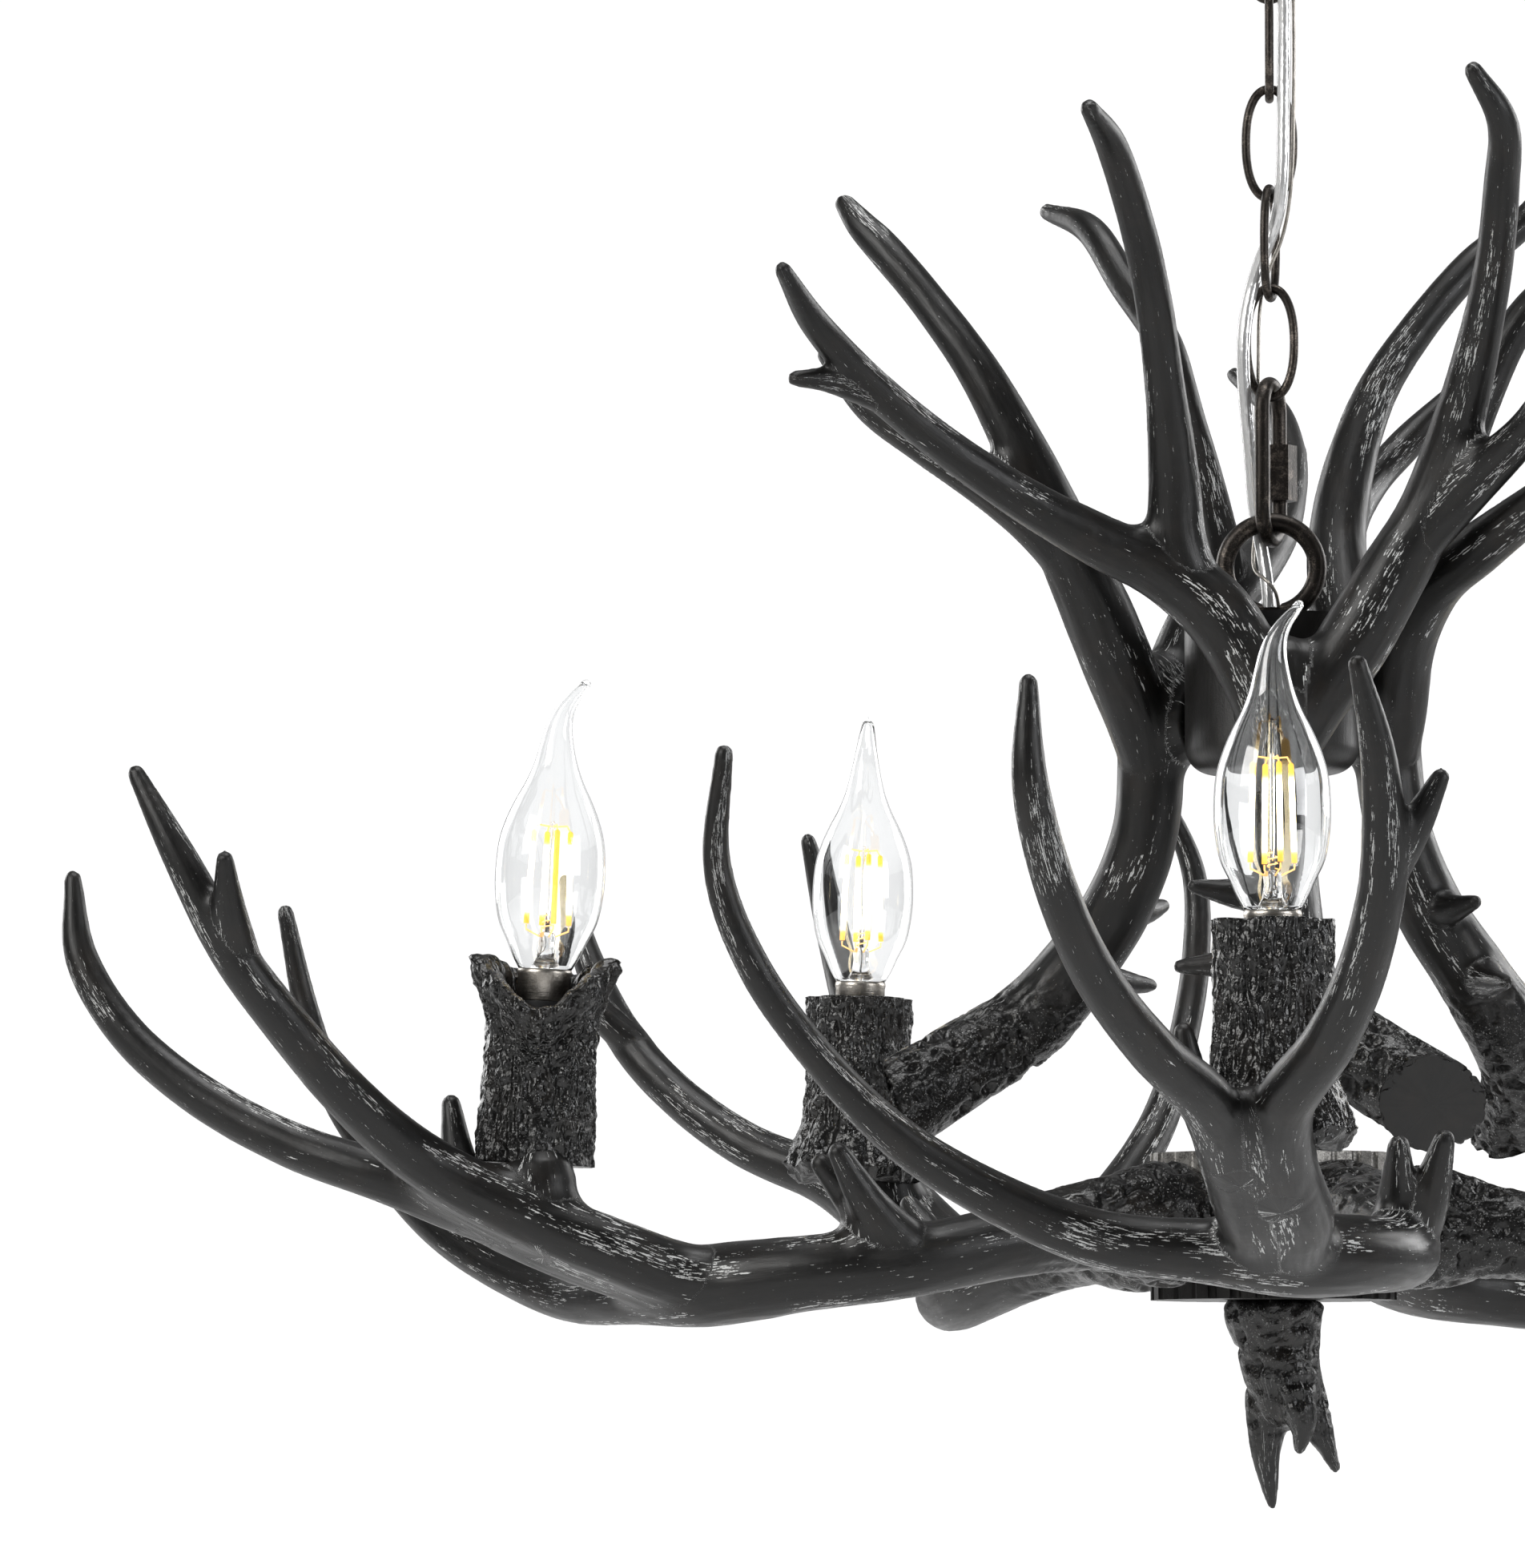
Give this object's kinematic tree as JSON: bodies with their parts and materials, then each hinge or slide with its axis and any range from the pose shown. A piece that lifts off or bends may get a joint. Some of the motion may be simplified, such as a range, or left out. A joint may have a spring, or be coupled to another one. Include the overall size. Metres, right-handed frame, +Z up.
{
  "type": "antler chandelier",
  "caption": "Chandelier of dark cast-resin antlers on two hubs, with candle cups, bent-tip filament bulbs, flex and a chain to a ceiling canopy.",
  "frame": {"origin": "middle of the ceiling bracket's slot pattern, on the ceiling plane", "axes": "+Z up along the chain; the first candle is at -Y, towards the viewer, and +X is to the viewer's right"},
  "size_m": [0.7668, 0.7247, 0.6146],
  "materials": {
    "antler": "dark cast resin, dry-brushed silver",
    "cup": "bark-textured dark resin",
    "hub": "satin black-brown paint",
    "chain": "black oxide",
    "steel": "zinc plated",
    "cap": "brushed nickel",
    "bulb_glass": "clear",
    "filament": "phosphor-coated filaments on a glass stem",
    "holder": "black phenolic",
    "flex": "clear sleeve over tinned strands",
    "earth": "bare wire",
    "connector": "white"
  },
  "bodies": {
    "ceiling_mount": {"ceiling_bracket": "steel", "bracket_nuts": "steel", "ceiling_canopy": "hub", "canopy_loop": "hub", "canopy_nut": "hub", "cord_grip": "holder", "power_cord": "flex", "earth_wire": "earth"},
    "link_1": {"chain_link_1": "chain"},
    "link_2": {"chain_link_2": "chain"},
    "link_3": {"chain_link_3": "chain"},
    "link_4": {"chain_link_4": "chain"},
    "link_5": {"chain_link_5": "chain"},
    "link_6": {"chain_link_6": "chain"},
    "quick_link": {"quick_link": "chain"},
    "quick_nut": {"quick_link_nut": "chain"},
    "chandelier": {"top_loop": "chain", "upper_hub": "hub", "upper_hub_lid": "hub", "hub_nuts": "steel", "centre_tube": "steel", "lower_hub": "hub", "lower_hub_cover": "hub", "connector_block": "connector", "finial": "antler", "upper_antler_screws": "steel", "lower_antler_screws": "steel", "upper_antler_1": "antler", "upper_antler_2": "antler", "upper_antler_3": "antler", "lower_antler_1": "antler", "lower_antler_2": "antler", "lower_antler_3": "antler", "lower_antler_4": "antler", "lower_antler_5": "antler", "candle_cup_1": "cup", "candle_cup_2": "cup", "candle_cup_3": "cup", "candle_cup_4": "cup", "candle_cup_5": "cup", "lampholder_1": "holder", "lampholder_2": "holder", "lampholder_3": "holder", "lampholder_4": "holder", "lampholder_5": "holder"},
    "bulb_1": {"bulb_glass_1": "bulb_glass", "bulb_cap_1": "cap", "bulb_filaments_1": "filament"},
    "bulb_2": {"bulb_glass_2": "bulb_glass", "bulb_cap_2": "cap", "bulb_filaments_2": "filament"},
    "bulb_3": {"bulb_glass_3": "bulb_glass", "bulb_cap_3": "cap", "bulb_filaments_3": "filament"},
    "bulb_4": {"bulb_glass_4": "bulb_glass", "bulb_cap_4": "cap", "bulb_filaments_4": "filament"},
    "bulb_5": {"bulb_glass_5": "bulb_glass", "bulb_cap_5": "cap", "bulb_filaments_5": "filament"}
  },
  "joints": [
    {"name": "link_1_swing", "type": "hinge", "parent": "ceiling_mount", "child": "link_1", "pos_m": [0, 0, -0.058], "axis": [1, 0, 0], "range_deg": [-8, 8], "deforming": ["power_cord", "earth_wire"]},
    {"name": "link_2_swing", "type": "hinge", "parent": "link_1", "child": "link_2", "pos_m": [0, 0, -0.09015], "axis": [0, 1, 0], "range_deg": [-8, 8]},
    {"name": "link_3_swing", "type": "hinge", "parent": "link_2", "child": "link_3", "pos_m": [0, 0, -0.12285], "axis": [1, 0, 0], "range_deg": [-8, 8]},
    {"name": "link_4_swing", "type": "hinge", "parent": "link_3", "child": "link_4", "pos_m": [0, 0, -0.15555], "axis": [0, 1, 0], "range_deg": [-8, 8]},
    {"name": "link_5_swing", "type": "hinge", "parent": "link_4", "child": "link_5", "pos_m": [0, 0, -0.18825], "axis": [0.9945, 0.1045, 0], "range_deg": [-8, 8]},
    {"name": "link_6_swing", "type": "hinge", "parent": "link_5", "child": "link_6", "pos_m": [0, 0, -0.22095], "axis": [0.2419, 0.9703, 0], "range_deg": [-8, 8]},
    {"name": "quick_link_swing", "type": "hinge", "parent": "link_6", "child": "quick_link", "pos_m": [0, 0, -0.25365], "axis": [0.9945, -0.1045, 0], "range_deg": [-8, 8]},
    {"name": "chandelier_swing", "type": "hinge", "parent": "quick_link", "child": "chandelier", "pos_m": [0, 0, -0.30025], "axis": [0.2924, 0.9563, 0], "range_deg": [-8, 8]},
    {"name": "quick_link_nut_travel", "type": "slide", "parent": "quick_link", "child": "quick_nut", "axis": [0, 0, 1], "range_m": [0, 0.009]},
    {"name": "bulb_1_turn", "type": "hinge", "parent": "chandelier", "child": "bulb_1", "pos_m": [0, -0.246, -0.5062], "axis": [0, 0, 1], "continuous": true},
    {"name": "bulb_2_turn", "type": "hinge", "parent": "chandelier", "child": "bulb_2", "pos_m": [-0.23396, -0.07602, -0.5056], "axis": [0.0523, 0, 0.9986], "continuous": true},
    {"name": "bulb_3_turn", "type": "hinge", "parent": "chandelier", "child": "bulb_3", "pos_m": [-0.1446, 0.19902, -0.5021], "axis": [0.0262, 0, 0.9997], "continuous": true},
    {"name": "bulb_4_turn", "type": "hinge", "parent": "chandelier", "child": "bulb_4", "pos_m": [0.1446, 0.19902, -0.5057], "axis": [0, 0, 1], "continuous": true},
    {"name": "bulb_5_turn", "type": "hinge", "parent": "chandelier", "child": "bulb_5", "pos_m": [0.23396, -0.07602, -0.5067], "axis": [0, 0, 1], "continuous": true}
  ]
}
